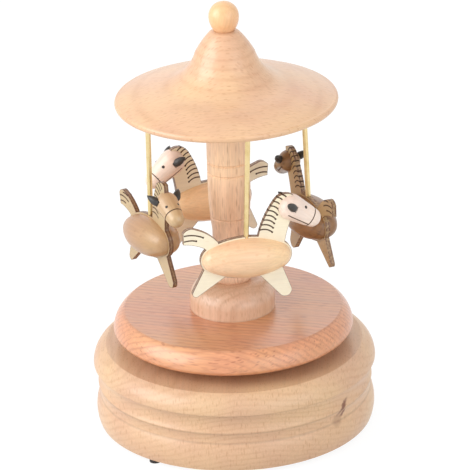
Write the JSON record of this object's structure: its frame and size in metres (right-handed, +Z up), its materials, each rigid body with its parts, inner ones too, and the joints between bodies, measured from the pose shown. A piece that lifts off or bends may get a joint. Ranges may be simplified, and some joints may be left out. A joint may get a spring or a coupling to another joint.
{
  "type": "carousel music box",
  "caption": "Wind-up wooden carousel music box: horses hang on brass rods from a bell-shaped canopy and turn on a platform over a moulded round base with a pinned-cylinder movement inside.",
  "frame": {"origin": "on the floor under the post's axis, at the level of the undersides of the feet", "axes": "+Z up along the post and the drive spindle; -Y towards the viewer of the picture; +X to their right"},
  "size_m": [0.11, 0.11, 0.1721],
  "materials": {
    "base_wood": "pale yellow beech, satin",
    "platform_wood": "pink-brown beech, satin",
    "post_foot_wood": "tan wood, satin",
    "post_wood": "pinkish-tan beech, satin",
    "canopy_wood": "pale peach beech, satin",
    "ball_wood": "honey-yellow wood, satin",
    "light_plate_wood": "cream plywood with scorched edges",
    "light_flank_wood": "peach wood, satin",
    "light_head_wood": "pinkish-white wood, satin",
    "brown_plate_wood": "tan-brown plywood with scorched edges",
    "brown_flank_wood": "olive-brown wood, satin",
    "brown_head_wood": "tan wood, satin",
    "ear_black": "black stained wood, satin",
    "plywood": "thin plywood, plain",
    "brass": "machined",
    "rod_brass": "pale satin",
    "steel": "brushed",
    "rubber": "matt black",
    "felt": "pressed felt"
  },
  "bodies": {
    "base": {"base_shell": "base_wood", "bottom_cover": "plywood", "cover_screws": "steel", "rubber_feet": "rubber", "spindle_bush": "brass", "felt_washer": "felt", "bedplate": "steel", "bedplate_screws": "steel", "barrel_bridge": "steel", "spring_arbor": "steel", "comb": "steel", "comb_block": "brass", "comb_screws": "steel", "cylinder_bearings": "steel", "governor_bearings": "steel", "worm_cock": "steel"},
    "carousel": {"drive_spindle": "steel", "spring_barrel": "brass", "barrel_lid": "brass", "mainspring": "steel", "crown_wheel": "brass", "hub_flange": "steel", "hub_screws": "steel", "platform": "platform_wood", "post_foot": "post_foot_wood", "post": "post_wood", "canopy": "canopy_wood", "finial_ball": "ball_wood", "front_rod": "rod_brass", "front_horse_plate": "light_plate_wood", "front_horse_flanks": "light_flank_wood", "front_horse_head": "light_head_wood", "front_horse_ears": "ear_black", "right_rod": "rod_brass", "right_horse_plate": "brown_plate_wood", "right_horse_flanks": "brown_flank_wood", "right_horse_head": "brown_head_wood", "right_horse_ears": "ear_black", "back_rod": "rod_brass", "back_horse_plate": "light_plate_wood", "back_horse_flanks": "light_flank_wood", "back_horse_head": "light_head_wood", "back_horse_ears": "ear_black", "left_rod": "rod_brass", "left_horse_plate": "brown_plate_wood", "left_horse_flanks": "brown_flank_wood", "left_horse_head": "brown_head_wood", "left_horse_ears": "ear_black"},
    "cylinder": {"cylinder_shaft": "steel", "music_cylinder": "brass", "cylinder_pinion": "steel", "cylinder_gear": "brass"},
    "governor": {"governor_arbor": "steel", "governor_pinion": "steel", "governor_wheel": "brass"},
    "worm": {"worm": "steel", "governor_fan": "brass"}
  },
  "joints": [
    {"name": "carousel_spin", "type": "hinge", "parent": "base", "child": "carousel", "pos_m": [0, 0, 0], "axis": [0, 0, 1], "continuous": true},
    {"name": "cylinder_spin", "type": "hinge", "parent": "base", "child": "cylinder", "pos_m": [0, 0, 0.0185], "axis": [1, 0, 0], "continuous": true},
    {"name": "governor_spin", "type": "hinge", "parent": "base", "child": "governor", "pos_m": [0, -0.009, 0.0185], "axis": [1, 0, 0], "continuous": true},
    {"name": "worm_spin", "type": "hinge", "parent": "base", "child": "worm", "pos_m": [0.03474, -0.0155, 0], "axis": [0, 0, 1], "continuous": true}
  ],
  "couplings": [
    {"joint": "cylinder_spin", "follows": "carousel_spin", "ratio": 2},
    {"joint": "governor_spin", "follows": "carousel_spin", "ratio": -4},
    {"joint": "worm_spin", "follows": "carousel_spin", "ratio": -80}
  ]
}
